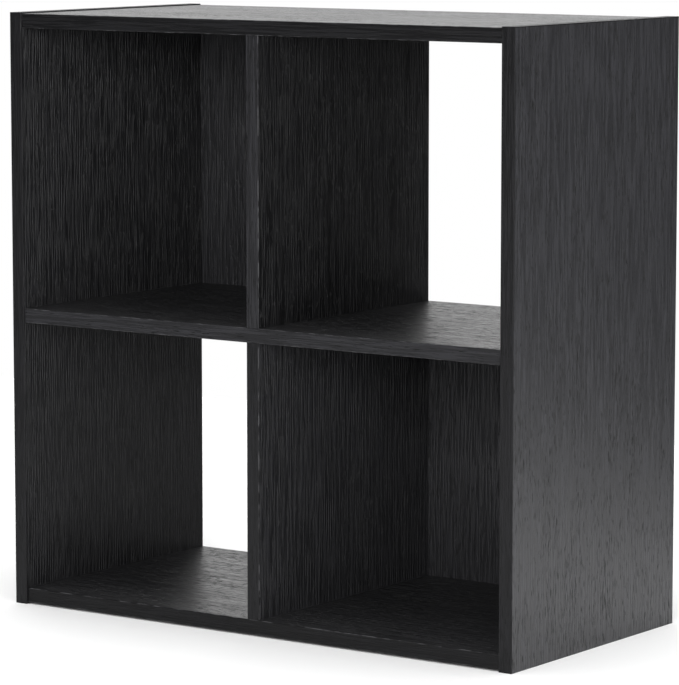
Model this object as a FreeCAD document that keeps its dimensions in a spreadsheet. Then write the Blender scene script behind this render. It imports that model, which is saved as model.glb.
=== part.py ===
import FreeCAD
import Part
import Sketcher
import math
import os

# A free-standing cube storage unit, two cubes wide and two high, of laminated
# board held by cam locks and dowels. Two cubes have a thin back panel, two are
# open right through. Millimetres, +Z up, the open front faces -Y, and the
# origin is at the middle of the footprint, on the floor.

SIZES = {
    "overall_width": 620.0,  # outer face to outer face of the side panels
    "overall_height": 620.0,  # floor to the tops of the side panels
    "side_depth": 305.0,  # front to back of a side panel
    "board_thickness": 15.0,
    "lower_cube_height": 280.6,  # bottom panel to the underside of the shelf
    "floor_gap": 2.0,  # bottom panel above the floor
    "top_drop": 1.2,  # top panel below the tops of the side panels
    "front_set_back": 2.0,  # inner boards behind the front of the side panels
    "band_thickness": 1.0,  # plastic strip along the visible edges
    "band_rounding": 0.8,
    "back_thickness": 3.0,
    "back_gap": 1.0,  # between the corners of the two back panels
    "cam_inset": 50.0,  # outer cam locks from the front and back of their board
    "dowel_spacing": 32.0,  # from a cam lock to the dowel beside it
    "divider_stagger": 16.0,  # lower divider's fittings out of line with the upper's
    "cam_reach": 34.0,  # cam lock's centre from the end of its board
    "cam_radius": 7.4,
    "cam_floor": 2.5,  # board left behind a cam lock
    "cam_slot_length": 10.0,  # screwdriver cross in the cam lock
    "cam_slot_width": 1.8,
    "cam_slot_depth": 1.6,
    "cam_mouth_radius": 3.5,
    "bolt_thread_radius": 3.0,
    "bolt_thread_length": 11.0,
    "bolt_collar_radius": 3.6,
    "bolt_collar_length": 1.5,
    "bolt_shank_radius": 2.2,
    "bolt_head_radius": 3.2,
    "bolt_head_length": 3.5,
    "dowel_radius": 4.0,
    "dowel_in_face": 10.0,
    "dowel_in_end": 20.0,
    "dowel_chamfer": 1.0,
    "screw_shank_radius": 1.25,
    "screw_length": 15.0,
    "screw_point_length": 3.0,
    "screw_head_radius": 3.0,
    "screw_head_height": 1.8,
    "screw_corner_distance": 40.0,  # from the corner of a cube to its first screw
    "bore_clearance": 0.1,  # round the side of a fitting
    "bore_end_clearance": 0.5,  # beyond the end of a fitting
    "bore_overrun": 1.0,  # a cutter past the face that it opens
}

# Places that follow from the sizes, as expressions of the sheet.
FRONT = "(-(Sizes.side_depth + Sizes.back_thickness + Sizes.screw_head_height) / 2)"
BACK = f"({FRONT} + Sizes.side_depth)"
INNER_FRONT = f"({FRONT} + Sizes.front_set_back)"
INNER_DEPTH = "(Sizes.side_depth - Sizes.front_set_back)"
INNER_MIDDLE = f"({INNER_FRONT} + {INNER_DEPTH} / 2)"
REAR_FACE = f"({BACK} + Sizes.back_thickness)"
HALF_WIDTH = "(Sizes.overall_width / 2)"
HALF_BOARD = "(Sizes.board_thickness / 2)"
HALF_SPAN = f"({HALF_WIDTH} - Sizes.board_thickness)"
BOTTOM_BASE = "Sizes.floor_gap"
BOTTOM_TOP = f"({BOTTOM_BASE} + Sizes.board_thickness)"
SHELF_BASE = f"({BOTTOM_TOP} + Sizes.lower_cube_height)"
SHELF_TOP = f"({SHELF_BASE} + Sizes.board_thickness)"
TOP_BASE = "(Sizes.overall_height - Sizes.top_drop - Sizes.board_thickness)"
BACK_LAP = "((Sizes.board_thickness - Sizes.back_gap) / 2)"
BOTH_BANDS = "2 * Sizes.band_thickness"

RIGHT = FreeCAD.Vector(1, 0, 0)
REAR = FreeCAD.Vector(0, 1, 0)
UP = FreeCAD.Vector(0, 0, 1)


def turn(own_x, own_y, own_z):
    """The rotation that lays a thing's own axes along the three given directions."""
    return FreeCAD.Rotation(own_x, own_y, own_z, "XYZ")


UNTURNED = turn(RIGHT, REAR, UP)
LYING_ALONG_X = turn(-UP, REAR, RIGHT)
BACKWARDS = turn(RIGHT, -UP, REAR)

# A joint's own Z runs from the board that takes the bolts into the board that
# holds the cam locks, and its own X points out of the face that they open in.
JOINT_TURNS = {
    "from_left_side": turn(-UP, REAR, RIGHT),
    "from_right_side": turn(-UP, -REAR, -RIGHT),
    "from_board_above": turn(-RIGHT, REAR, -UP),
    "from_board_below": turn(-RIGHT, -REAR, UP),
}

# A band's own X runs across the board, its own Y outwards and its own Z along the edge.
BAND_TURNS = {
    "upright_front": turn(-RIGHT, -REAR, UP),
    "upright_back": turn(RIGHT, REAR, UP),
    "upright_top": turn(-RIGHT, UP, REAR),
    "level_front": turn(UP, -REAR, RIGHT),
    "level_back": turn(-UP, REAR, RIGHT),
}


def make_sheet(doc):
    sheet = doc.addObject("Spreadsheet::Sheet", "Sizes")
    for row, (alias, size) in enumerate(SIZES.items(), start=1):
        sheet.set(f"A{row}", str(size))
        sheet.setAlias(f"A{row}", alias)
    doc.recompute()
    return sheet


def worth(doc, expression):
    return float(doc.Sizes.evalExpression(expression))


def place(thing, spot, rotation=UNTURNED):
    thing.Placement = FreeCAD.Placement(FreeCAD.Vector(), rotation)
    for axis, expression in zip("xyz", spot):
        thing.setExpression(f".Placement.Base.{axis}", expression)
    return thing


def box(doc, name, spot, size):
    block = doc.addObject("Part::Box", name)
    for side, expression in zip(("Length", "Width", "Height"), size):
        block.setExpression(side, expression)
    return place(block, spot)


def rod(doc, name, radius, length, spot, rotation=UNTURNED):
    cylinder = doc.addObject("Part::Cylinder", name)
    cylinder.setExpression("Radius", radius)
    cylinder.setExpression("Height", length)
    return place(cylinder, spot, rotation)


def copy_at(doc, name, source, spot, rotation=UNTURNED):
    link = doc.addObject("App::Link", name)
    link.LinkedObject = source
    link.LinkTransform = True  # on top of where the source itself stands
    return place(link, spot, rotation)


def group(doc, name, members):
    compound = doc.addObject("Part::Compound", name)
    compound.Links = members
    return compound


def fuse(doc, name, members):
    fusion = doc.addObject("Part::MultiFuse", name)
    fusion.Shapes = members
    return fusion


def cut(doc, name, base, tool):
    result = doc.addObject("Part::Cut", name)
    result.Base = base
    result.Tool = tool
    return result


def body_sketch(body, name, plane_role):
    sketch = body.newObject("Sketcher::SketchObject", name)
    plane = next(f for f in body.Origin.OriginFeatures if f.Role == plane_role)
    sketch.AttachmentSupport = (plane, [""])
    sketch.MapMode = "FlatFace"
    return sketch


def turned_piece(doc, name, profile):
    """A body turned about its own Z axis from corners given as (radius, height) expressions."""
    body = doc.addObject("PartDesign::Body", name)
    sketch = body_sketch(body, f"{name}_profile", "XZ_Plane")
    corners = [FreeCAD.Vector(worth(doc, r), worth(doc, z), 0) for r, z in profile]
    for start, end in zip(corners, corners[1:] + corners[:1]):
        sketch.addGeometry(Part.LineSegment(start, end), False)
    for edge, (radius, height) in enumerate(profile):
        sketch.addConstraint(Sketcher.Constraint("Coincident", edge, 2, (edge + 1) % len(profile), 1))
        if radius == "0":
            sketch.addConstraint(Sketcher.Constraint("PointOnObject", edge, 1, -2))
        else:
            bind(sketch, Sketcher.Constraint("DistanceX", edge, 1, corners[edge].x), radius)
        bind(sketch, Sketcher.Constraint("DistanceY", edge, 1, corners[edge].y), height)
    lathe = body.newObject("PartDesign::Revolution", f"{name}_turning")
    lathe.Profile = sketch
    lathe.ReferenceAxis = (sketch, ["V_Axis"])
    lathe.Angle = 360
    return body


def bind(sketch, constraint, expression):
    index = sketch.addConstraint(constraint)
    sketch.setExpression(f"Constraints[{index}]", expression)


# Fittings, each modelled once about a joint's own axes: the joint face is at
# height 0 and the middle of the cam-holding board's thickness is at X = 0.


def make_cam_bolt(doc):
    head_start = "(Sizes.cam_reach - Sizes.bolt_head_length / 2)"
    head_end = "(Sizes.cam_reach + Sizes.bolt_head_length / 2)"
    return turned_piece(doc, "cam_bolt", [
        ("0", "-Sizes.bolt_thread_length"),
        ("Sizes.bolt_thread_radius", "-Sizes.bolt_thread_length"),
        ("Sizes.bolt_thread_radius", "0"),
        ("Sizes.bolt_collar_radius", "0"),
        ("Sizes.bolt_collar_radius", "Sizes.bolt_collar_length"),
        ("Sizes.bolt_shank_radius", "Sizes.bolt_collar_length"),
        ("Sizes.bolt_shank_radius", head_start),
        ("Sizes.bolt_head_radius", head_start),
        ("Sizes.bolt_head_radius", head_end),
        ("0", head_end),
    ])


def make_cam_lock(doc):
    inner_face = f"(Sizes.cam_floor + Sizes.bore_end_clearance - {HALF_BOARD})"
    slot_floor = f"({HALF_BOARD} - Sizes.cam_slot_depth)"
    barrel = rod(
        doc, "cam_barrel", "Sizes.cam_radius", f"{HALF_BOARD} - {inner_face}",
        (inner_face, "0", "Sizes.cam_reach"), LYING_ALONG_X,
    )
    mouth_length = "Sizes.cam_radius + Sizes.bolt_head_length / 2 + Sizes.bore_end_clearance"
    mouth = rod(
        doc, "cam_mouth", "Sizes.cam_mouth_radius", mouth_length,
        ("0", "0", "Sizes.cam_reach - Sizes.cam_radius"),
    )
    slot_depth = "Sizes.cam_slot_depth + Sizes.bore_overrun"
    slot_one = box(
        doc, "cam_slot_across",
        (slot_floor, "-Sizes.cam_slot_length / 2", "Sizes.cam_reach - Sizes.cam_slot_width / 2"),
        (slot_depth, "Sizes.cam_slot_length", "Sizes.cam_slot_width"),
    )
    slot_two = box(
        doc, "cam_slot_along",
        (slot_floor, "-Sizes.cam_slot_width / 2", "Sizes.cam_reach - Sizes.cam_slot_length / 2"),
        (slot_depth, "Sizes.cam_slot_width", "Sizes.cam_slot_length"),
    )
    hollow = fuse(doc, "cam_hollow", [mouth, slot_one, slot_two])
    return cut(doc, "cam_lock", barrel, hollow)


def make_cam_bore(doc):
    thread = rod(
        doc, "thread_bore", "Sizes.bolt_thread_radius + Sizes.bore_clearance",
        "Sizes.bolt_thread_length + Sizes.bore_end_clearance",
        ("0", "0", "-Sizes.bolt_thread_length - Sizes.bore_end_clearance"),
    )
    shank = rod(
        doc, "shank_bore", "Sizes.bolt_collar_radius + Sizes.bore_clearance", "Sizes.cam_reach",
        ("0", "0", "0"),
    )
    seat = rod(
        doc, "cam_seat", "Sizes.cam_radius + Sizes.bore_clearance",
        "Sizes.board_thickness - Sizes.cam_floor + Sizes.bore_overrun",
        (f"Sizes.cam_floor - {HALF_BOARD}", "0", "Sizes.cam_reach"), LYING_ALONG_X,
    )
    return fuse(doc, "cam_bore", [thread, shank, seat])


def make_dowel(doc):
    chamfered = "Sizes.dowel_radius - Sizes.dowel_chamfer"
    return turned_piece(doc, "dowel", [
        ("0", "-Sizes.dowel_in_face"),
        (chamfered, "-Sizes.dowel_in_face"),
        ("Sizes.dowel_radius", "Sizes.dowel_chamfer - Sizes.dowel_in_face"),
        ("Sizes.dowel_radius", "Sizes.dowel_in_end - Sizes.dowel_chamfer"),
        (chamfered, "Sizes.dowel_in_end"),
        ("0", "Sizes.dowel_in_end"),
    ])


def make_dowel_bore(doc):
    return rod(
        doc, "dowel_bore", "Sizes.dowel_radius + Sizes.bore_clearance",
        "Sizes.dowel_in_face + Sizes.dowel_in_end + 2 * Sizes.bore_end_clearance",
        ("0", "0", "-Sizes.dowel_in_face - Sizes.bore_end_clearance"),
    )


def make_screw(doc):
    """A pan-head screw whose head sits on height 0."""
    return turned_piece(doc, "back_screw", [
        ("0", "-Sizes.screw_length"),
        ("Sizes.screw_shank_radius", "Sizes.screw_point_length - Sizes.screw_length"),
        ("Sizes.screw_shank_radius", "0"),
        ("Sizes.screw_head_radius", "0"),
        ("Sizes.screw_head_radius", "Sizes.screw_head_height / 2"),
        ("Sizes.screw_head_radius / 2", "Sizes.screw_head_height"),
        ("0", "Sizes.screw_head_height"),
    ])


def make_screw_bore(doc):
    return rod(
        doc, "screw_bore", "Sizes.screw_shank_radius + Sizes.bore_clearance",
        "Sizes.screw_length + Sizes.bore_end_clearance + Sizes.bore_overrun",
        ("0", "0", "-Sizes.screw_length - Sizes.bore_end_clearance"),
    )


def make_fittings(doc):
    """The masters, with how far in from the front and back of a board each one stands."""
    cam_place = "Sizes.cam_inset"
    dowel_place = "Sizes.cam_inset + Sizes.dowel_spacing"
    return {
        "cam_bolts": (make_cam_bolt(doc), cam_place),
        "cam_locks": (make_cam_lock(doc), cam_place),
        "cam_bores": (make_cam_bore(doc), cam_place),
        "dowels": (make_dowel(doc), dowel_place),
        "dowel_bores": (make_dowel_bore(doc), dowel_place),
    }


def make_joint(doc, name, fittings, turn_name, spot, stagger="0"):
    """One joint's fittings by kind: each kind is a pair, set in alike from front and back."""
    joint = {}
    for kind, (master, inset) in fittings.items():
        offset = f"({INNER_DEPTH} / 2 - ({inset}) - {stagger})"
        pair = group(doc, f"{name}_{kind}_pair", [
            copy_at(doc, f"{name}_{kind}_one", master, ("0", offset, "0")),
            copy_at(doc, f"{name}_{kind}_two", master, ("0", f"-{offset}", "0")),
        ])
        joint[kind] = copy_at(doc, f"{name}_{kind}", pair, spot, JOINT_TURNS[turn_name])
    return joint


def make_joints(doc):
    fittings = make_fittings(doc)
    levels = {"top": TOP_BASE, "shelf": SHELF_BASE, "bottom": BOTTOM_BASE}
    joints = {}
    for board, base in levels.items():
        middle = f"{base} + {HALF_BOARD}"
        left_spot = (f"-{HALF_SPAN}", INNER_MIDDLE, middle)
        right_spot = (HALF_SPAN, INNER_MIDDLE, middle)
        joints[f"{board}_left"] = make_joint(
            doc, f"{board}_left", fittings, "from_left_side", left_spot)
        joints[f"{board}_right"] = make_joint(
            doc, f"{board}_right", fittings, "from_right_side", right_spot)
    divider_ends = {
        "upper_divider_top": ("from_board_above", TOP_BASE, "0"),
        "upper_divider_foot": ("from_board_below", SHELF_TOP, "0"),
        "lower_divider_top": ("from_board_above", SHELF_BASE, "Sizes.divider_stagger"),
        "lower_divider_foot": ("from_board_below", BOTTOM_TOP, "Sizes.divider_stagger"),
    }
    for name, (turn_name, height, stagger) in divider_ends.items():
        joints[name] = make_joint(
            doc, name, fittings, turn_name, ("0", INNER_MIDDLE, height), stagger)
    return joints


# The two cubes that have a back panel, as the left, right, lower and upper
# faces of the cube.
BACKED_CUBES = {
    "upper_left": (f"-{HALF_SPAN}", f"-{HALF_BOARD}", SHELF_TOP, TOP_BASE),
    "lower_right": (HALF_BOARD, HALF_SPAN, BOTTOM_TOP, SHELF_BASE),
}


def screw_spots(cube):
    """Two screws along each side of the cube, in the middle of the back panel's lap."""
    left, right, low, high = cube
    corner = "Sizes.screw_corner_distance"
    across = (f"{left} + {corner}", f"{right} - {corner}")
    upwards = (f"{low} + {corner}", f"{high} - {corner}")
    on_uprights = [(x, z) for x in (f"{left} - {BACK_LAP} / 2", f"{right} + {BACK_LAP} / 2")
                   for z in upwards]
    on_levels = [(x, z) for z in (f"{low} - {BACK_LAP} / 2", f"{high} + {BACK_LAP} / 2")
                 for x in across]
    return on_uprights + on_levels


def spread(doc, name, master, cube):
    return group(doc, name, [
        copy_at(doc, f"{name}_{number}", master, (x, REAR_FACE, z), BACKWARDS)
        for number, (x, z) in enumerate(screw_spots(cube), start=1)
    ])


def make_backs(doc):
    """The back panels and their screws as pieces, and the screw bores for the boards."""
    screw = make_screw(doc)
    bore = make_screw_bore(doc)
    pieces = []
    bores = {}
    for name, cube in BACKED_CUBES.items():
        left, right, low, high = cube
        bores[name] = spread(doc, f"{name}_screw_bores", bore, cube)
        blank = box(
            doc, f"{name}_back_blank",
            (f"{left} - {BACK_LAP}", BACK, f"{low} - {BACK_LAP}"),
            (f"{right} - {left} + 2 * {BACK_LAP}", "Sizes.back_thickness",
             f"{high} - {low} + 2 * {BACK_LAP}"),
        )
        pieces.append(cut(doc, f"{name}_back_panel", blank, bores[name]))
        pieces.append(spread(doc, f"{name}_back_screws", screw, cube))
    return pieces, bores


def bores_of(joints, names):
    return [joints[name][kind] for name in names for kind in ("cam_bores", "dowel_bores")]


def make_board(doc, name, spot, size, cutters):
    blank = box(doc, f"{name}_blank", spot, size)
    return cut(doc, name, blank, group(doc, f"{name}_cutters", cutters))


def make_band(doc, name, turn_name, length, spot):
    """A plastic edge band: flat on the board, with its two outer corners rounded."""
    body = doc.addObject("PartDesign::Body", name)
    sketch = body_sketch(body, f"{name}_section", "XY_Plane")
    half = worth(doc, HALF_BOARD)
    thick = worth(doc, "Sizes.band_thickness")
    round_ = worth(doc, "Sizes.band_rounding")
    shoulder = thick - round_
    point = FreeCAD.Vector
    right_arc = Part.Circle(point(half - round_, shoulder, 0), UP, round_)
    left_arc = Part.Circle(point(round_ - half, shoulder, 0), UP, round_)
    base, right_side, right_round, crown, left_round, left_side = range(6)
    sketch.addGeometry(Part.LineSegment(point(-half, 0, 0), point(half, 0, 0)), False)
    sketch.addGeometry(Part.LineSegment(point(half, 0, 0), point(half, shoulder, 0)), False)
    sketch.addGeometry(Part.ArcOfCircle(right_arc, 0, math.pi / 2), False)
    sketch.addGeometry(
        Part.LineSegment(point(half - round_, thick, 0), point(round_ - half, thick, 0)), False)
    sketch.addGeometry(Part.ArcOfCircle(left_arc, math.pi / 2, math.pi), False)
    sketch.addGeometry(Part.LineSegment(point(-half, shoulder, 0), point(-half, 0, 0)), False)
    for rule in (
        ("Coincident", base, 2, right_side, 1),
        ("Tangent", right_side, 2, right_round, 1),
        ("Tangent", right_round, 2, crown, 1),
        ("Tangent", crown, 2, left_round, 1),
        ("Tangent", left_round, 2, left_side, 1),
        ("Coincident", left_side, 2, base, 1),
        ("Vertical", right_side),
        ("Vertical", left_side),
        ("Horizontal", crown),
        ("Equal", right_round, left_round),
        ("PointOnObject", base, 1, -1),
        ("Symmetric", base, 1, base, 2, -2),
    ):
        sketch.addConstraint(Sketcher.Constraint(*rule))
    bind(sketch, Sketcher.Constraint("DistanceX", base, 1, base, 2, 2 * half), "Sizes.board_thickness")
    bind(sketch, Sketcher.Constraint("DistanceY", base, 2, crown, 1, thick), "Sizes.band_thickness")
    bind(sketch, Sketcher.Constraint("Radius", right_round, round_), "Sizes.band_rounding")
    pad = body.newObject("PartDesign::Pad", f"{name}_strip")
    pad.Profile = sketch
    pad.setExpression("Length", length)
    return place(body, spot, BAND_TURNS[turn_name])


def make_side(doc, side, middle, joints, screw_bores):
    """A side panel with its front, back and top edge bands. Its foot is left bare."""
    name = f"{side}_side"
    core_height = "Sizes.overall_height - Sizes.band_thickness"
    core_front = f"{FRONT} + Sizes.band_thickness"
    core_back = f"{BACK} - Sizes.band_thickness"
    panel = make_board(
        doc, f"{name}_panel",
        (f"{middle} - {HALF_BOARD}", core_front, "0"),
        ("Sizes.board_thickness", f"Sizes.side_depth - {BOTH_BANDS}", core_height),
        bores_of(joints, [f"{board}_{side}" for board in ("top", "shelf", "bottom")]) + [screw_bores],
    )
    front = make_band(
        doc, f"{name}_front_band", "upright_front", "Sizes.overall_height", (middle, core_front, "0"))
    back_strip = make_band(
        doc, f"{name}_back_strip", "upright_back", "Sizes.overall_height", (middle, core_back, "0"))
    back = cut(doc, f"{name}_back_band", back_strip, screw_bores)
    top = make_band(
        doc, f"{name}_top_band", "upright_top", f"Sizes.side_depth - {BOTH_BANDS}",
        (middle, core_front, core_height))
    return [panel, front, back, top]


def make_level(doc, name, base, joints, joint_names, screw_bores):
    """A level board between the side panels, with its front and back edge bands."""
    core_front = f"{INNER_FRONT} + Sizes.band_thickness"
    core_back = f"{BACK} - Sizes.band_thickness"
    middle = f"{base} + {HALF_BOARD}"
    length = f"2 * {HALF_SPAN}"
    panel = make_board(
        doc, name,
        (f"-{HALF_SPAN}", core_front, base),
        (length, f"{INNER_DEPTH} - {BOTH_BANDS}", "Sizes.board_thickness"),
        bores_of(joints, joint_names) + screw_bores,
    )
    front = make_band(
        doc, f"{name}_front_band", "level_front", length, (f"-{HALF_SPAN}", core_front, middle))
    back_strip = make_band(
        doc, f"{name}_back_strip", "level_back", length, (f"-{HALF_SPAN}", core_back, middle))
    band_cutters = group(doc, f"{name}_band_cutters", screw_bores)
    back = cut(doc, f"{name}_back_band", back_strip, band_cutters)
    return [panel, front, back]


def make_divider(doc, name, low, high, joints, screw_bores):
    """An upright board in the middle, between two level ones."""
    core_front = f"{INNER_FRONT} + Sizes.band_thickness"
    core_back = f"{BACK} - Sizes.band_thickness"
    height = f"{high} - {low}"
    panel = make_board(
        doc, name,
        (f"-{HALF_BOARD}", core_front, low),
        ("Sizes.board_thickness", f"{INNER_DEPTH} - {BOTH_BANDS}", height),
        bores_of(joints, [f"{name}_top", f"{name}_foot"]) + [screw_bores],
    )
    front = make_band(
        doc, f"{name}_front_band", "upright_front", height, ("0", core_front, low))
    back_strip = make_band(
        doc, f"{name}_back_strip", "upright_back", height, ("0", core_back, low))
    back = cut(doc, f"{name}_back_band", back_strip, screw_bores)
    return [panel, front, back]


def make_boards(doc, joints, screw_bores):
    upper_left = screw_bores["upper_left"]
    lower_right = screw_bores["lower_right"]
    pieces = []
    side_middle = f"({HALF_WIDTH} - {HALF_BOARD})"
    pieces += make_side(doc, "left", f"-{side_middle}", joints, upper_left)
    pieces += make_side(doc, "right", side_middle, joints, lower_right)
    pieces += make_level(
        doc, "top_panel", TOP_BASE, joints,
        ["top_left", "top_right", "upper_divider_top"], [upper_left])
    pieces += make_level(
        doc, "middle_shelf", SHELF_BASE, joints,
        ["shelf_left", "shelf_right", "upper_divider_foot", "lower_divider_top"],
        [upper_left, lower_right])
    pieces += make_level(
        doc, "bottom_panel", BOTTOM_BASE, joints,
        ["bottom_left", "bottom_right", "lower_divider_foot"], [lower_right])
    pieces += make_divider(doc, "upper_divider", SHELF_TOP, TOP_BASE, joints, upper_left)
    pieces += make_divider(doc, "lower_divider", BOTTOM_TOP, SHELF_BASE, joints, lower_right)
    return pieces


def gather_fittings(doc, joints):
    """One piece for each set of like fittings: cam locks by the board that holds them,
    bolts and dowels by the board that they stand in or join."""
    ends_held = {
        "top_panel": ["top_left", "top_right"],
        "middle_shelf": ["shelf_left", "shelf_right"],
        "bottom_panel": ["bottom_left", "bottom_right"],
        "upper_divider": ["upper_divider_top", "upper_divider_foot"],
        "lower_divider": ["lower_divider_top", "lower_divider_foot"],
    }
    faces_used = {
        "left_side": ["top_left", "shelf_left", "bottom_left"],
        "right_side": ["top_right", "shelf_right", "bottom_right"],
        "upper_divider": ends_held["upper_divider"],
        "lower_divider": ends_held["lower_divider"],
    }
    pieces = []
    for board, names in ends_held.items():
        pieces.append(group(doc, f"{board}_cam_locks", [joints[n]["cam_locks"] for n in names]))
    for kind in ("cam_bolts", "dowels"):
        for board, names in faces_used.items():
            pieces.append(group(doc, f"{board}_{kind}", [joints[n][kind] for n in names]))
    return pieces


def check(doc, pieces):
    for thing in doc.Objects:
        if "Invalid" in thing.State or "Error" in thing.State:
            raise RuntimeError(f"{thing.Label} failed: {thing.State}")
    for piece in pieces:
        if piece.Shape.isNull() or not piece.Shape.isValid() or not piece.Shape.Solids:
            raise RuntimeError(f"{piece.Label} has no sound solid")


def main():
    doc = FreeCAD.newDocument("cube_storage_unit")
    make_sheet(doc)
    joints = make_joints(doc)
    back_pieces, screw_bores = make_backs(doc)
    pieces = make_boards(doc, joints, screw_bores) + back_pieces + gather_fittings(doc, joints)
    doc.recompute()
    check(doc, pieces)
    os.makedirs("parts", exist_ok=True)
    for piece in pieces:
        piece.Shape.exportStep(f"parts/{piece.Label}.step")
        print(piece.Label, len(piece.Shape.Solids), "solids", round(piece.Shape.Volume), "mm3")


main()
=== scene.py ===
import bpy
import bmesh
import math
from mathutils import Matrix, Vector


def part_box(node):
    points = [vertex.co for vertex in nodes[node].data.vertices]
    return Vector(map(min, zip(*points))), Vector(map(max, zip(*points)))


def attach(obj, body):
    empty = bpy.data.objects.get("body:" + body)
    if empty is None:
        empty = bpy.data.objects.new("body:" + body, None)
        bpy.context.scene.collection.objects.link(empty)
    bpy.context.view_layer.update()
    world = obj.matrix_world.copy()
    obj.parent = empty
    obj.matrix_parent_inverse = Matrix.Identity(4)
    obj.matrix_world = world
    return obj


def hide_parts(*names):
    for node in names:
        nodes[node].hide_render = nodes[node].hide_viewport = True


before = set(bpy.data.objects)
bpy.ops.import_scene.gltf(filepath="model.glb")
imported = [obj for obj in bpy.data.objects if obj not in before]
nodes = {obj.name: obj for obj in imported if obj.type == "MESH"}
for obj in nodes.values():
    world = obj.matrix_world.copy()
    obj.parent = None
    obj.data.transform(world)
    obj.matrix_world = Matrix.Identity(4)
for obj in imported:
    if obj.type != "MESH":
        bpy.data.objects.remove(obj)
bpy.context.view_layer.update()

print("frame loaded:", len(nodes), "nodes")


def addNode(tree, kind, inputs=None, **settings):
    # a socket is linked, and anything else is set as the input's value
    node = tree.nodes.new(kind)
    for name, value in settings.items():
        setattr(node, name, value)
    for name, value in (inputs or {}).items():
        if isinstance(value, bpy.types.NodeSocket):
            tree.links.new(value, node.inputs[name])
        else:
            node.inputs[name].default_value = value
    return node


def calc(tree, operation, first, second=0.5):
    return addNode(tree, "ShaderNodeMath", {0: first, 1: second}, operation=operation).outputs[0]


def ramp(tree, value, low, high, start=0.0, end=1.0):
    return addNode(tree, "ShaderNodeMapRange", {0: value, 1: low, 2: high, 3: start, 4: end},
                   interpolation_type="SMOOTHSTEP").outputs[0]


def mixColor(tree, share, first, second):
    # 6 and 7 are the two colours of a Mix node
    return addNode(tree, "ShaderNodeMix", {0: share, 6: first, 7: second}, data_type="RGBA").outputs[2]


def stretchedNoise(tree, vector, cycles, detail=2.0):
    # cycles per metre across, through and along the grain
    stretched = addNode(tree, "ShaderNodeVectorMath", {0: vector, 1: cycles}, operation="MULTIPLY")
    return addNode(tree, "ShaderNodeTexNoise", {
        "Vector": stretched.outputs[0], "Scale": 1.0, "Detail": detail}).outputs["Fac"]


def newGroup(name, inputs, outputs):
    group = bpy.data.node_groups.new(name, "ShaderNodeTree")
    for label, kind in inputs:
        group.interface.new_socket(label, in_out="INPUT", socket_type=kind)
    for label, kind in outputs:
        group.interface.new_socket(label, in_out="OUTPUT", socket_type=kind)
    return group, group.nodes.new("NodeGroupInput"), group.nodes.new("NodeGroupOutput")


def newMaterial(name):
    material = bpy.data.materials.new(name)
    material.use_nodes = True
    tree = material.node_tree
    coords = addNode(tree, "ShaderNodeTexCoord")
    return material, tree, tree.nodes["Principled BSDF"], coords.outputs["Object"]


# the embossed grain of every foil-faced board: fine ridges, and short pores pressed into them
grain = {
    "wanderCycles": (14.0, 14.0, 6.0),
    "wander": 0.0014,                     # how far the lines stray, in metres
    "ridgeCycles": (620.0, 620.0, 18.0),
    "ridgeEdges": (0.42, 0.62),
    "poreCycles": (1050.0, 1050.0, 95.0),
    "patchCycles": (30.0, 30.0, 7.0),     # patches with many and with few pores
    "poreStart": 0.60,                    # noise above this is a pore
    "patchPull": 0.20,                    # how much a rich patch lowers that bar
    "poreEdge": 0.08,
    "ridgeHeight": 0.8,                   # beside a pore's depth of 1
    "ridgeTone": 0.85,                    # shares of the light and dark that come from each
    "patchTone": 0.15,
}


def makeGrainGroup():
    group, source, result = newGroup(
        "embossedGrain", [("Vector", "NodeSocketVector")],
        [("Height", "NodeSocketFloat"), ("Pores", "NodeSocketFloat"), ("Tone", "NodeSocketFloat")])
    vector = source.outputs["Vector"]
    wander = stretchedNoise(group, vector, grain["wanderCycles"], 1.0)
    stray = calc(group, "MULTIPLY", calc(group, "SUBTRACT", wander, 0.5), 2 * grain["wander"])
    sideways = addNode(group, "ShaderNodeCombineXYZ", {0: stray})
    bent = addNode(group, "ShaderNodeVectorMath", {
        0: vector, 1: sideways.outputs[0]}, operation="ADD").outputs[0]
    ridges = ramp(group, stretchedNoise(group, bent, grain["ridgeCycles"], 1.0), *grain["ridgeEdges"])
    patches = stretchedNoise(group, bent, grain["patchCycles"], 1.0)
    poreBar = calc(group, "SUBTRACT", grain["poreStart"] + grain["patchPull"] / 2,
                   calc(group, "MULTIPLY", patches, grain["patchPull"]))
    poreNoise = stretchedNoise(group, bent, grain["poreCycles"], 1.0)
    pores = ramp(group, calc(group, "SUBTRACT", poreNoise, poreBar), 0.0, grain["poreEdge"])
    height = calc(group, "SUBTRACT", calc(group, "MULTIPLY", ridges, grain["ridgeHeight"]), pores)
    tone = calc(group, "ADD", calc(group, "MULTIPLY", ridges, grain["ridgeTone"]),
                calc(group, "MULTIPLY", patches, grain["patchTone"]))
    group.links.new(height, result.inputs["Height"])
    group.links.new(pores, result.inputs["Pores"])
    group.links.new(tone, result.inputs["Tone"])
    return group


grainGroup = makeGrainGroup()

quarterTurn = math.radians(90)
grainTurns = {            # turns the object's directions into across, through and along the grain
    "upright side": (0, 0, quarterTurn),
    "upright front": (0, 0, 0),
    "level": (0, -quarterTurn, -quarterTurn),
}

foil = {
    "dark": (0.0130, 0.0130, 0.0143, 1),
    "light": (0.0230, 0.0230, 0.0258, 1),
    "poreColor": (0.0050, 0.0050, 0.0055, 1),
    "roughness": (0.34, 0.42),            # of the troughs and of the ridges
    "toneEdges": (0.2, 0.8),              # the tones at which each of the two is full
    "poreRoughness": 0.62,
    "specular": 0.5,
    "emboss": 0.00036,                    # height of the emboss, in metres
}


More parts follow.
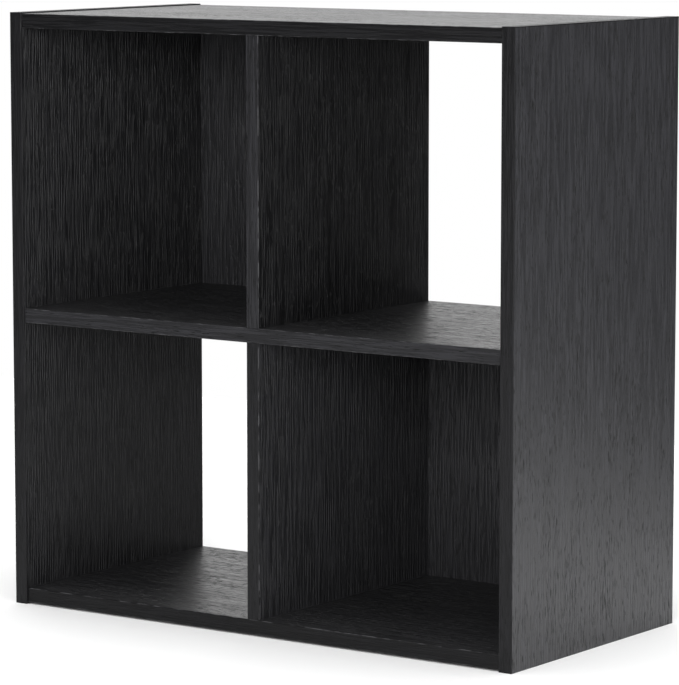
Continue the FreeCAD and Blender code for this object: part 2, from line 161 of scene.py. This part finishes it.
def foilMaterial(name, turn, offset, look=foil, paintedLightGain=1.0, relief=1.0):
    material, tree, shader, place = newMaterial(name)
    turned = addNode(tree, "ShaderNodeMapping", {
        "Vector": place, "Rotation": grainTurns[turn], "Location": offset}).outputs[0]
    pattern = addNode(tree, "ShaderNodeGroup", node_tree=grainGroup)
    tree.links.new(turned, pattern.inputs["Vector"])
    tone, pores = pattern.outputs["Tone"], pattern.outputs["Pores"]
    # painted light and shade: the foil's two tones are scaled per board for how light falls on that board
    dark, light = [(*[paintedLightGain * channel for channel in look[end][:3]], 1) for end in ("dark", "light")]
    ground = mixColor(tree, tone, dark, light)
    tree.links.new(mixColor(tree, pores, ground, look["poreColor"]), shader.inputs["Base Color"])
    troughs, ridges = look["roughness"]
    polish = ramp(tree, tone, *look["toneEdges"], troughs, ridges)
    rough = addNode(tree, "ShaderNodeMix", {
        0: pores, 2: polish, 3: look["poreRoughness"]}).outputs[0]
    tree.links.new(rough, shader.inputs["Roughness"])
    shader.inputs["Specular IOR Level"].default_value = look["specular"]
    bump = addNode(tree, "ShaderNodeBump", {
        "Strength": 1.0, "Distance": relief * look["emboss"], "Height": pattern.outputs["Height"]})
    tree.links.new(bump.outputs[0], shader.inputs["Normal"])
    return material


def dress(node, material):
    mesh = nodes[node].data
    mesh.materials.clear()
    mesh.materials.append(material)


floorFoil = dict(foil, poreRoughness=0.95)    # duller pores, on the floors of the cubes

# for each board: how its grain runs, which stretch of the pattern it shows, its painted light and shade
# (the one foil made lighter or darker for how light falls on that board), and how deep its grain is pressed
boards = {
    "left_side_panel": ("upright side", (0.31, 0.0, 0.13), 0.9, 2.0),
    "right_side_panel": ("upright side", (1.27, 0.4, 0.57), 2.0, 0.4),
    "upper_divider": ("upright side", (2.11, 0.9, 0.31), 0.5, 1.5),
    "lower_divider": ("upright side", (3.05, 0.7, 1.22), 1.3, 2.0),
    "top_panel": ("level", (4.40, 0.3, 0.9), 1.0, 0.6),
    "middle_shelf": ("level", (5.15, 0.6, 1.7), 0.7, 2.2),
    "bottom_panel": ("level", (6.02, 0.1, 0.2), 0.8, 2.8),
    "upper_left_back_panel": ("upright front", (7.33, 0.2, 0.4), 1.3, 0.8),
    "lower_right_back_panel": ("upright front", (8.21, 0.5, 0.8), 1.3, 0.8),
}
for board, (turn, offset, paintedLightGain, relief) in boards.items():
    look = floorFoil if board in ("middle_shelf", "bottom_panel") else foil
    dress(board, foilMaterial(f"foil {board}", turn, offset, look, paintedLightGain, relief))
print("boards dressed:", len(boards))

bandFoil = dict(foil, roughness=(0.40, 0.50), specular=0.2, emboss=0.00018)
paintedHighlight = {
    "width": 0.0009,                      # of the painted highlight line along a band's corners
    "solid": 0.3,                         # the share of that width that is full
    "color": (0.07, 0.07, 0.074, 1),
    "dashCycles": (90.0, 90.0, 90.0),     # how the painted highlight comes and goes along the corner
    "dashEdges": (0.46, 0.64),
}


# a mask for the painted highlight: a pale dashed line along a band's rounded corners, where light would
# catch them
def makeArrisHighlightGroup():
    # Offset is the distance from the band's middle, and Reach is half its width
    group, source, result = newGroup(
        "paintedArrisHighlight",
        [("Vector", "NodeSocketVector"), ("Offset", "NodeSocketFloat"), ("Reach", "NodeSocketFloat")],
        [("Mask", "NodeSocketFloat")])
    offset = calc(group, "ABSOLUTE", source.outputs["Offset"])
    fromCorner = calc(group, "SUBTRACT", source.outputs["Reach"], offset)
    line = ramp(group, fromCorner, paintedHighlight["solid"] * paintedHighlight["width"], paintedHighlight["width"], 1.0, 0.0)
    noise = stretchedNoise(group, source.outputs["Vector"], paintedHighlight["dashCycles"])
    dashes = ramp(group, noise, *paintedHighlight["dashEdges"])
    group.links.new(calc(group, "MULTIPLY", line, dashes), result.inputs["Mask"])
    return group


arrisHighlightGroup = makeArrisHighlightGroup()


def bandMaterial(name, turn, offset, paintedLightGain, pale):
    material = foilMaterial(f"band {name}", turn, offset, bandFoil, paintedLightGain)
    if not pale:
        return material
    tree = material.node_tree
    shader = tree.nodes["Principled BSDF"]
    low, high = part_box(name)
    size, middle = high - low, (high + low) / 2
    thick = 2 if size.z < size.x else 0       # a band is as wide as its board is thick, in X or in Z
    place = tree.nodes["Texture Coordinate"].outputs["Object"]
    here = addNode(tree, "ShaderNodeSeparateXYZ", {0: place}).outputs[thick]
    mask = addNode(tree, "ShaderNodeGroup", node_tree=arrisHighlightGroup)
    tree.links.new(place, mask.inputs["Vector"])
    tree.links.new(calc(tree, "SUBTRACT", here, middle[thick]), mask.inputs["Offset"])
    mask.inputs["Reach"].default_value = size[thick] / 2
    # the painted highlight along the band's rounded corners is mixed into its colour
    plain = shader.inputs["Base Color"].links[0].from_socket
    highlighted = mixColor(tree, mask.outputs["Mask"], plain, paintedHighlight["color"])
    tree.links.new(highlighted, shader.inputs["Base Color"])
    return material


bandStep = 0.37           # metres of pattern between one band and the next
# for the bands of each board: how the grain runs, and their painted light and shade (the one band foil made
# lighter or darker for how light falls on them)
bandLooks = {
    "left_side": ("upright front", 0.6), "right_side": ("upright front", 0.6),
    "upper_divider": ("upright front", 1.2), "lower_divider": ("upright front", 0.6),
    "top_panel": ("level", 0.5), "middle_shelf": ("level", 1.2), "bottom_panel": ("level", 0.4),
}
bands = sorted(name for name in nodes if name.endswith("_band"))
for number, name in enumerate(bands):
    turn, paintedLightGain = next(look for board, look in bandLooks.items() if name.startswith(board))
    if name.endswith("top_band"):
        turn = "upright side"
    offset = (bandStep * number, 0.7, 0.1)
    dress(name, bandMaterial(name, turn, offset, paintedLightGain, "_side_" not in name))
print("edge bands dressed:", len(bands))


metal = {
    "mottle": 900.0,          # cycles per metre
    "dull": 0.7,              # how light the dull spots are
    "mottleEdges": (0.3, 0.7),
    "spread": (0.8, 1.25),    # how far the roughness goes below and above its middle
}


def metalMaterial(name, color, roughness):
    material, tree, shader, place = newMaterial(name)
    shader.inputs["Metallic"].default_value = 1.0
    cast = addNode(tree, "ShaderNodeTexNoise", {
        "Vector": place, "Scale": metal["mottle"], "Detail": 3.0}).outputs["Fac"]
    dull = (*[metal["dull"] * channel for channel in color], 1)
    tree.links.new(mixColor(tree, cast, dull, (*color, 1)), shader.inputs["Base Color"])
    smooth, rough = [share * roughness for share in metal["spread"]]
    tree.links.new(ramp(tree, cast, *metal["mottleEdges"], smooth, rough), shader.inputs["Roughness"])
    return material


zinc = metalMaterial("die-cast zinc", (0.55, 0.55, 0.54), 0.42)
steel = metalMaterial("zinc-plated steel", (0.62, 0.61, 0.58), 0.3)
blackSteel = metalMaterial("black steel", (0.06, 0.06, 0.062), 0.36)
# the dowels' wood has the same pattern as the foil, which copies wood
beech = foilMaterial("beech", "level", (0, 0, 0), dict(
    foil, dark=(0.50, 0.33, 0.19, 1), light=(0.68, 0.50, 0.31, 1), poreColor=(0.36, 0.22, 0.12, 1),
    roughness=(0.6, 0.7), poreRoughness=0.8))
for name in nodes:
    if name.endswith("_cam_bolts"):
        dress(name, steel)
    elif name.endswith("_dowels"):
        dress(name, beech)
print("bolts and dowels dressed")


def islands(node):
    # lowest and highest corner of each separate part of a CAD node
    shape = bmesh.new()
    shape.from_mesh(nodes[node].data)
    bmesh.ops.remove_doubles(shape, verts=shape.verts, dist=1e-6)
    left, found = set(shape.verts), []
    while left:
        part, edge = set(), [left.pop()]
        while edge:
            corner = edge.pop()
            part.add(corner)
            near = {link.other_vert(corner) for link in corner.link_edges} & left
            left -= near
            edge.extend(near)
        axes = list(zip(*(corner.co for corner in part)))
        found.append((Vector(map(min, axes)), Vector(map(max, axes))))
    shape.free()
    return sorted(found, key=lambda box: tuple(round(value, 4) for value in box[0]))


def addPiece(name, shape, material, node):
    bmesh.ops.recalc_face_normals(shape, faces=shape.faces)
    mesh = bpy.data.meshes.new(name)
    shape.to_mesh(mesh)
    shape.free()
    mesh.materials.append(material)
    piece = bpy.data.objects.new(name, mesh)
    bpy.context.scene.collection.objects.link(piece)
    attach(piece, "root")
    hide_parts(node)


def addCopy(shape, master, turn, place):
    # one copy of the master mesh, turned and set in its place
    start = len(shape.verts)
    shape.from_mesh(master)
    shape.verts.ensure_lookup_table()
    bmesh.ops.transform(shape, matrix=Matrix.Translation(place) @ turn, verts=shape.verts[start:])


crossTaper = 0.8          # a cross is this much smaller at its floor


def crossHole(shape, reach, width, depth, outer, sides):
    # a flat round face at height 0 with a cross sunk into it; returns the round edge
    rim = bmesh.ops.create_circle(shape, radius=outer, segments=sides)["verts"]
    rimEdges = list({edge for corner in rim for edge in corner.link_edges})
    arm = [(width, reach), (width, width), (reach, width)]
    outline = []
    for quarter in range(4):
        turn = Matrix.Rotation(-quarter * quarterTurn, 3, "Z")
        outline += [shape.verts.new(turn @ Vector((x, y, 0))) for x, y in arm]
    crossEdges = [shape.edges.new((outline[i - 1], outline[i])) for i in range(len(outline))]
    bmesh.ops.triangle_fill(shape, use_beauty=True, edges=rimEdges + crossEdges)
    walls = bmesh.ops.extrude_edge_only(shape, edges=crossEdges)["geom"]
    floorEdges = [part for part in walls if isinstance(part, bmesh.types.BMEdge)
                  and not any(corner in outline for corner in part.verts)]
    floorVerts = list({corner for edge in floorEdges for corner in edge.verts})
    bmesh.ops.translate(shape, verts=floorVerts, vec=(0, 0, -depth))
    bmesh.ops.scale(shape, verts=floorVerts, vec=(crossTaper, crossTaper, 1))
    bmesh.ops.triangle_fill(shape, use_beauty=True, edges=floorEdges)
    return rimEdges


def turnProfile(shape, edges, profile):
    # carries a round edge on through each (radius, height), and closes it at the last one
    for radius, height in profile:
        grown = bmesh.ops.extrude_edge_only(shape, edges=edges)["geom"]
        ring = [part for part in grown if isinstance(part, bmesh.types.BMVert)]
        edges = [part for part in grown if isinstance(part, bmesh.types.BMEdge)
                 and all(corner in ring for corner in part.verts)]
        for corner in ring:
            corner.co = (*(corner.co.xy.normalized() * radius), height)
    bmesh.ops.triangle_fill(shape, use_beauty=True, edges=edges)


backScrew = {
    "headRadius": 0.003,
    "headHeight": 0.0018,
    "crossReach": 0.00135,
    "crossWidth": 0.00032,    # half the width of one arm
    "crossDepth": 0.0011,
    "crownRadius": 0.0017,    # of the flat middle of the head
    "domeSteps": 6,
    "domeShare": 0.7,         # of the head's height that is curved
    "shankRadius": 0.00125,
    "rootRadius": 0.0009,
    "length": 0.015,
    "threadPitch": 0.0011,
    "threadRoot": (0.35, 0.65),   # where the groove's floor begins and ends in each pitch
    "pointLength": 0.003,
    "pointShare": 0.2,        # of the root's radius that is left at the tip
    "sides": 32,
}


def backScrewMaster():
    size = backScrew
    shape = bmesh.new()
    rim = crossHole(shape, size["crossReach"], size["crossWidth"], size["crossDepth"],
                    size["crownRadius"], size["sides"])
    profile = []
    for step in range(1, size["domeSteps"] + 1):      # the dome, from the crown to the head's edge
        angle = step / size["domeSteps"] * quarterTurn
        radius = size["crownRadius"] + (size["headRadius"] - size["crownRadius"]) * math.sin(angle)
        profile.append((radius, -size["domeShare"] * size["headHeight"] * (1 - math.cos(angle))))
    under = -size["headHeight"]
    profile += [(size["headRadius"], under), (size["shankRadius"], under)]
    threads = int((size["length"] - size["pointLength"]) / size["threadPitch"])
    for turn in range(threads):
        top = under - turn * size["threadPitch"]
        profile += [(size["rootRadius"], top - share * size["threadPitch"]) for share in size["threadRoot"]]
        profile.append((size["shankRadius"], top - size["threadPitch"]))
    profile.append((size["pointShare"] * size["rootRadius"], under - size["length"]))
    turnProfile(shape, rim, profile)
    master = bpy.data.meshes.new("backScrewMaster")
    shape.to_mesh(master)
    shape.free()
    return master


screwMaster = backScrewMaster()
screwTurn = 0.7           # each screw stops at its own angle, this much further round than the last
headOutward = Matrix.Rotation(-quarterTurn, 4, "X")
for back in ("upper_left_back", "lower_right_back"):
    shape = bmesh.new()
    for number, (low, high) in enumerate(islands(f"{back}_screws")):
        spot = ((low.x + high.x) / 2, high.y, (low.z + high.z) / 2)
        driven = Matrix.Rotation(screwTurn * number, 4, "Y")
        addCopy(shape, screwMaster, driven @ headOutward, spot)
    addPiece(f"{back}_pan_head_screws", shape, blackSteel, f"{back}_screws")
bpy.data.meshes.remove(screwMaster)
print("back screws made")


camLock = {
    "faceDrop": 0.0005,       # the face lies this far inside the rim
    "rimWidth": 0.0009,
    "chamfer": 0.0003,
    "crossReach": 0.0048,
    "crossWidth": 0.0009,
    "crossDepth": 0.0028,
    "flange": 0.0026,         # thickness of the head
    "wall": 0.0022,           # of the cam behind the head
    "bodyGap": 0.0002,        # the body is this much smaller than the head
    "wallTurn": 262.0,        # degrees that the cam's wall goes round, open towards the bolt
    "base": 0.0012,           # thickness of the foot
    "footDrop": 0.1,          # the share of the foot's thickness that stops short of the wall's end
    "sides": 48,
    "wallSteps": 36,
}


def camLockMaster(radius, height):
    size = camLock
    shape = bmesh.new()
    rimInside = radius - size["rimWidth"]
    rim = crossHole(shape, size["crossReach"], size["crossWidth"], size["crossDepth"],
                    rimInside - size["faceDrop"], size["sides"])
    bmesh.ops.translate(shape, verts=shape.verts, vec=(0, 0, -size["faceDrop"]))
    turnProfile(shape, rim, [
        (rimInside, 0), (radius - size["chamfer"], 0), (radius, -size["chamfer"]),
        (radius, -size["flange"] + size["chamfer"]), (radius - size["chamfer"], -size["flange"])])
    outer = radius - size["bodyGap"]
    inner = outer - size["wall"]
    top, base = -size["flange"] + size["chamfer"], -height
    # the cam's curved wall: an upright outline swept round, and left open in front of the bolt
    section = ((inner, top), (outer, top), (outer, base), (inner, base))
    corners = [shape.verts.new((radius, 0, height)) for radius, height in section]
    outline = shape.faces.new(corners)
    opening = math.radians(360 - size["wallTurn"]) / 2
    bmesh.ops.rotate(shape, verts=corners, cent=(0, 0, 0), matrix=Matrix.Rotation(opening, 3, "Z"))
    bmesh.ops.spin(shape, geom=corners + list(outline.edges) + [outline],
                   angle=math.radians(size["wallTurn"]), steps=size["wallSteps"],
                   axis=(0, 0, 1), cent=(0, 0, 0), use_merge=False)
    footRadius = inner + size["wall"] / 2
    foot = bmesh.ops.create_circle(shape, radius=footRadius, segments=size["sides"])["verts"]
    footEdges = list({edge for corner in foot for edge in corner.link_edges})
    bmesh.ops.translate(shape, verts=foot, vec=(0, 0, base + size["base"]))
    bmesh.ops.triangle_fill(shape, use_beauty=True, edges=footEdges)
    turnProfile(shape, footEdges, [(footRadius, base + size["footDrop"] * size["base"])])
    master = bpy.data.meshes.new("camLockMaster")
    shape.to_mesh(master)
    shape.free()
    return master


lockMaster = None
for board in ("top_panel", "middle_shelf", "bottom_panel", "upper_divider", "lower_divider"):
    upright = board.endswith("divider")
    deep, along = (0, 2) if upright else (2, 0)     # the lock's own axis, and the bolt's
    boardLow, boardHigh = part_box(board)
    shape = bmesh.new()
    for low, high in islands(f"{board}_cam_locks"):
        middle = (low + high) / 2
        if lockMaster is None:
            lockMaster = camLockMaster((high.y - low.y) / 2, high[deep] - low[deep])
        outward, bolt = Vector(), Vector()
        outward[deep] = -1
        bolt[along] = 1 if middle[along] > (boardLow + boardHigh)[along] / 2 else -1
        turn = Matrix((bolt, outward.cross(bolt), outward)).transposed().to_4x4()
        middle[deep] = low[deep]
        addCopy(shape, lockMaster, turn, middle)
    addPiece(f"{board}_cam_lock_set", shape, zinc, f"{board}_cam_locks")
bpy.data.meshes.remove(lockMaster)
print("cam locks made")


studio = {
    "floorSize": 3.6,
    "floorMiddle": (0.3, -0.6),
    "floorColor": (0.93, 0.93, 0.93, 1),
    "floorShade": (0.12, 0.12, 0.12, 1),  # painted shade: the dark colour that the part behind the object gives back to it
    "floorRoughness": 0.9,
    "shadeWay": (-0.9, 1.0, 0.0),         # the way that part lies
    "shadeEdge": (0.0, 0.5),              # how far out it begins and is full
    # each soft light: the direction that it stands in, the cosine at which it begins, and its strength
    "lights": {
        "overhead": ((0, 0, 1), 0.75, 4.5),
        "backLeft": ((-0.58, 0.81, 0.1), 0.72, 1.5),
        "right": ((1, -0.2, 0.1), 0.5, 0.6),
        "frontRight": ((0.7, -0.7, 0.1), 0.4, 0.6),
    },
    "keyPlace": (1.3, -2.9, 1.2),         # a softbox that rakes along the walls of the cubes
    "keyAim": (0, 0, 0.3),
    "keySize": 0.9,
    "keyEnergy": 46.0,
}


def makeFloor():
    shape = bmesh.new()
    bmesh.ops.create_grid(shape, x_segments=1, y_segments=1, size=studio["floorSize"] / 2,
                          matrix=Matrix.Translation((*studio["floorMiddle"], 0)))
    mesh = bpy.data.meshes.new("studioFloor")
    shape.to_mesh(mesh)
    shape.free()
    floor = bpy.data.objects.new("studioFloor", mesh)
    bpy.context.scene.collection.objects.link(floor)
    material, tree, shader, place = newMaterial("studio floor")
    # painted shade: behind the object the floor is dark for every ray but the camera's, in what the object
    # reflects and in the light that bounces onto it
    way = addNode(tree, "ShaderNodeVectorMath", {0: place, 1: studio["shadeWay"]}, operation="DOT_PRODUCT")
    behind = ramp(tree, way.outputs["Value"], *studio["shadeEdge"])
    unseen = calc(tree, "SUBTRACT", 1.0, addNode(tree, "ShaderNodeLightPath").outputs["Is Camera Ray"])
    share = calc(tree, "MULTIPLY", behind, unseen)
    pale = mixColor(tree, share, studio["floorColor"], studio["floorShade"])
    tree.links.new(pale, shader.inputs["Base Color"])
    shader.inputs["Roughness"].default_value = studio["floorRoughness"]
    shader.inputs["Specular IOR Level"].default_value = 0.0
    mesh.materials.append(material)


def makeWorld():
    world = bpy.data.worlds.new("studio")
    bpy.context.scene.world = world
    world.use_nodes = True
    tree = world.node_tree
    tree.nodes.clear()
    way = addNode(tree, "ShaderNodeTexCoord").outputs["Generated"]
    glow = 0.0
    for direction, begin, strength in studio["lights"].values():
        facing = addNode(tree, "ShaderNodeVectorMath", {
            0: way, 1: Vector(direction).normalized()}, operation="DOT_PRODUCT").outputs["Value"]
        glow = calc(tree, "ADD", glow, ramp(tree, facing, begin, 1.0, 0.0, strength))
    lit = addNode(tree, "ShaderNodeBackground", {"Strength": glow, "Color": (1, 1, 1, 1)})
    backdrop = addNode(tree, "ShaderNodeBackground", {"Strength": 1.0, "Color": (1, 1, 1, 1)})
    path = addNode(tree, "ShaderNodeLightPath")
    both = addNode(tree, "ShaderNodeMixShader", {
        0: path.outputs["Is Camera Ray"], 1: lit.outputs[0], 2: backdrop.outputs[0]})
    out = addNode(tree, "ShaderNodeOutputWorld")
    tree.links.new(both.outputs[0], out.inputs[0])


def makeKey():
    light = bpy.data.lights.new("key", "AREA")
    light.size = studio["keySize"]
    light.energy = studio["keyEnergy"]
    key = bpy.data.objects.new("key", light)
    key.location = studio["keyPlace"]
    key.rotation_euler = (Vector(studio["keyAim"]) - key.location).to_track_quat("-Z", "Y").to_euler()
    bpy.context.scene.collection.objects.link(key)


makeFloor()
makeWorld()
makeKey()

view = {
    "place": (2.2462, -3.1706, 0.7716),
    "azimuth": 35.340,       # degrees round from the front, towards the right side
    "drop": 7.173,           # degrees below the level
    "lens": 199.738,
    "sensor": 36.0,
    "farthest": 200.0,       # metres
}
camera = bpy.data.cameras.new("camera")
camera.lens = view["lens"]
camera.sensor_width = view["sensor"]
camera.clip_end = view["farthest"]
cameraObject = bpy.data.objects.new("camera", camera)
cameraObject.location = view["place"]
cameraObject.rotation_euler = (math.radians(90 - view["drop"]), 0, math.radians(view["azimuth"]))
bpy.context.scene.collection.objects.link(cameraObject)
bpy.context.scene.camera = cameraObject
bpy.context.scene.view_settings.view_transform = "Standard"
print("studio ready")
